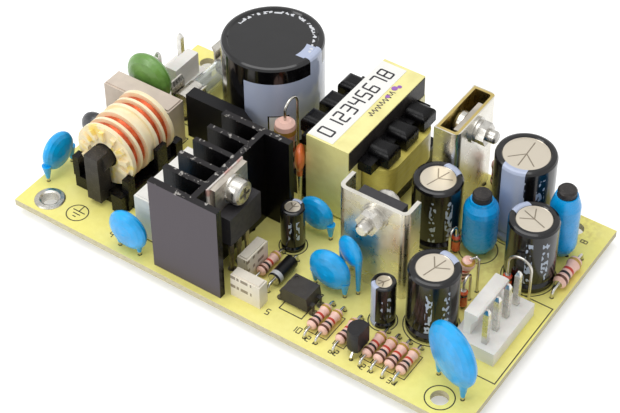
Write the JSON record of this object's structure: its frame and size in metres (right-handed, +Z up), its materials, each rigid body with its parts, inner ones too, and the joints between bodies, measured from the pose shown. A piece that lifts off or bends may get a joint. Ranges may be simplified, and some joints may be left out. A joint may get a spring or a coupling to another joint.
{
  "type": "open frame power supply",
  "caption": "Open frame switching power supply on a pale yellow board with finned heatsink, taped transformer, choke, capacitors and pin headers",
  "frame": {"origin": "middle of the board's outline seen from above, at the height of the trimmed lead ends under the board", "axes": "+X along the board towards the output header, +Y across it towards the edge with the bulk capacitor and the transformer, +Z up on the component side"},
  "size_m": [0.1084, 0.062, 0.0294],
  "materials": {
    "board": "pale yellow laminate with black print",
    "tin": "tinned copper",
    "solder": "bright solder",
    "white_nylon": "white moulded nylon",
    "pins": "tinned square pins",
    "fuse_glass": "clear glass tube",
    "fuse_caps": "nickel plated brass",
    "clips": "tarnished bronze spring sheet",
    "green_coat": "dark green resin coat",
    "dark_coat": "black-green resin coat",
    "beige_box": "grey-beige box",
    "white_box": "off-white box",
    "bobbin_cream": "cream nylon with yellow glue",
    "copper_wire": "enamelled copper wire",
    "ferrite": "dark grey ferrite",
    "black_plastic": "black moulded plastic",
    "rectifier_black": "black epoxy",
    "cap_sleeve": "black shrunk sleeve with grey-blue fields",
    "black_anodised": "black anodised extrusion",
    "switch_black": "black epoxy, satin",
    "tab_metal": "tinned copper tab",
    "pad": "thin insulating sheet",
    "screw": "nickel plated steel",
    "resistor_pink": "pink enamel with colour bands",
    "orange_coat": "orange resin coat",
    "coil_tape": "yellow polyester tape",
    "core_tape": "pale yellow tape",
    "label": "white paper label",
    "bracket_tin": "bright tinned sheet",
    "blue_sleeve": "light blue shrunk sleeve",
    "blue_coat": "cyan blue resin coat",
    "film_box": "cream box with dark print",
    "diode_black": "black epoxy with silver band",
    "diode_red": "red tinted glass",
    "chip_black": "black epoxy"
  },
  "bodies": {
    "root": {"circuit_board": "board", "mounting_eyelet": "tin", "solder_joints": "solder", "inlet_header": "white_nylon", "inlet_pins": "pins", "outlet_header": "white_nylon", "outlet_pins": "pins", "fuse_glass": "fuse_glass", "fuse_end_caps": "fuse_caps", "fuse_clips": "clips", "inrush_thermistor": "green_coat", "surge_disc": "dark_coat", "line_filter_capacitor": "beige_box", "second_filter_capacitor": "white_box", "choke_bobbin": "bobbin_cream", "choke_windings": "copper_wire", "choke_core": "ferrite", "choke_base": "black_plastic", "bridge_rectifier": "rectifier_black", "bulk_capacitor": "cap_sleeve", "main_heatsink": "black_anodised", "switch_body": "switch_black", "switch_leadframe": "tab_metal", "switch_pad": "pad", "switch_screw": "screw", "switch_spring_washer": "screw", "switch_flat_washer": "screw", "power_resistor": "resistor_pink", "orange_disc_capacitor": "orange_coat", "transformer_core": "ferrite", "transformer_bobbin": "black_plastic", "transformer_winding": "coil_tape", "transformer_tape": "core_tape", "transformer_label": "label", "front_bracket": "bracket_tin", "rear_bracket": "bracket_tin", "rectifier_bodies": "switch_black", "rectifier_leadframes": "tab_metal", "rectifier_pads": "pad", "bracket_screws": "screw", "bracket_nuts": "screw", "bracket_flat_washers": "screw", "bracket_spring_washers": "screw", "output_capacitors": "cap_sleeve", "tall_output_capacitor": "cap_sleeve", "small_capacitors": "cap_sleeve", "rod_choke_sleeves": "blue_sleeve", "rod_choke_cores": "ferrite", "small_disc_capacitors": "blue_coat", "large_disc_capacitor": "blue_coat", "film_capacitors": "film_box", "quarter_watt_resistors": "resistor_pink", "output_resistor": "resistor_pink", "standing_resistors": "resistor_pink", "power_diode": "diode_black", "glass_diodes": "diode_red", "optocoupler": "chip_black", "small_transistor": "rectifier_black"}
  },
  "joints": []
}
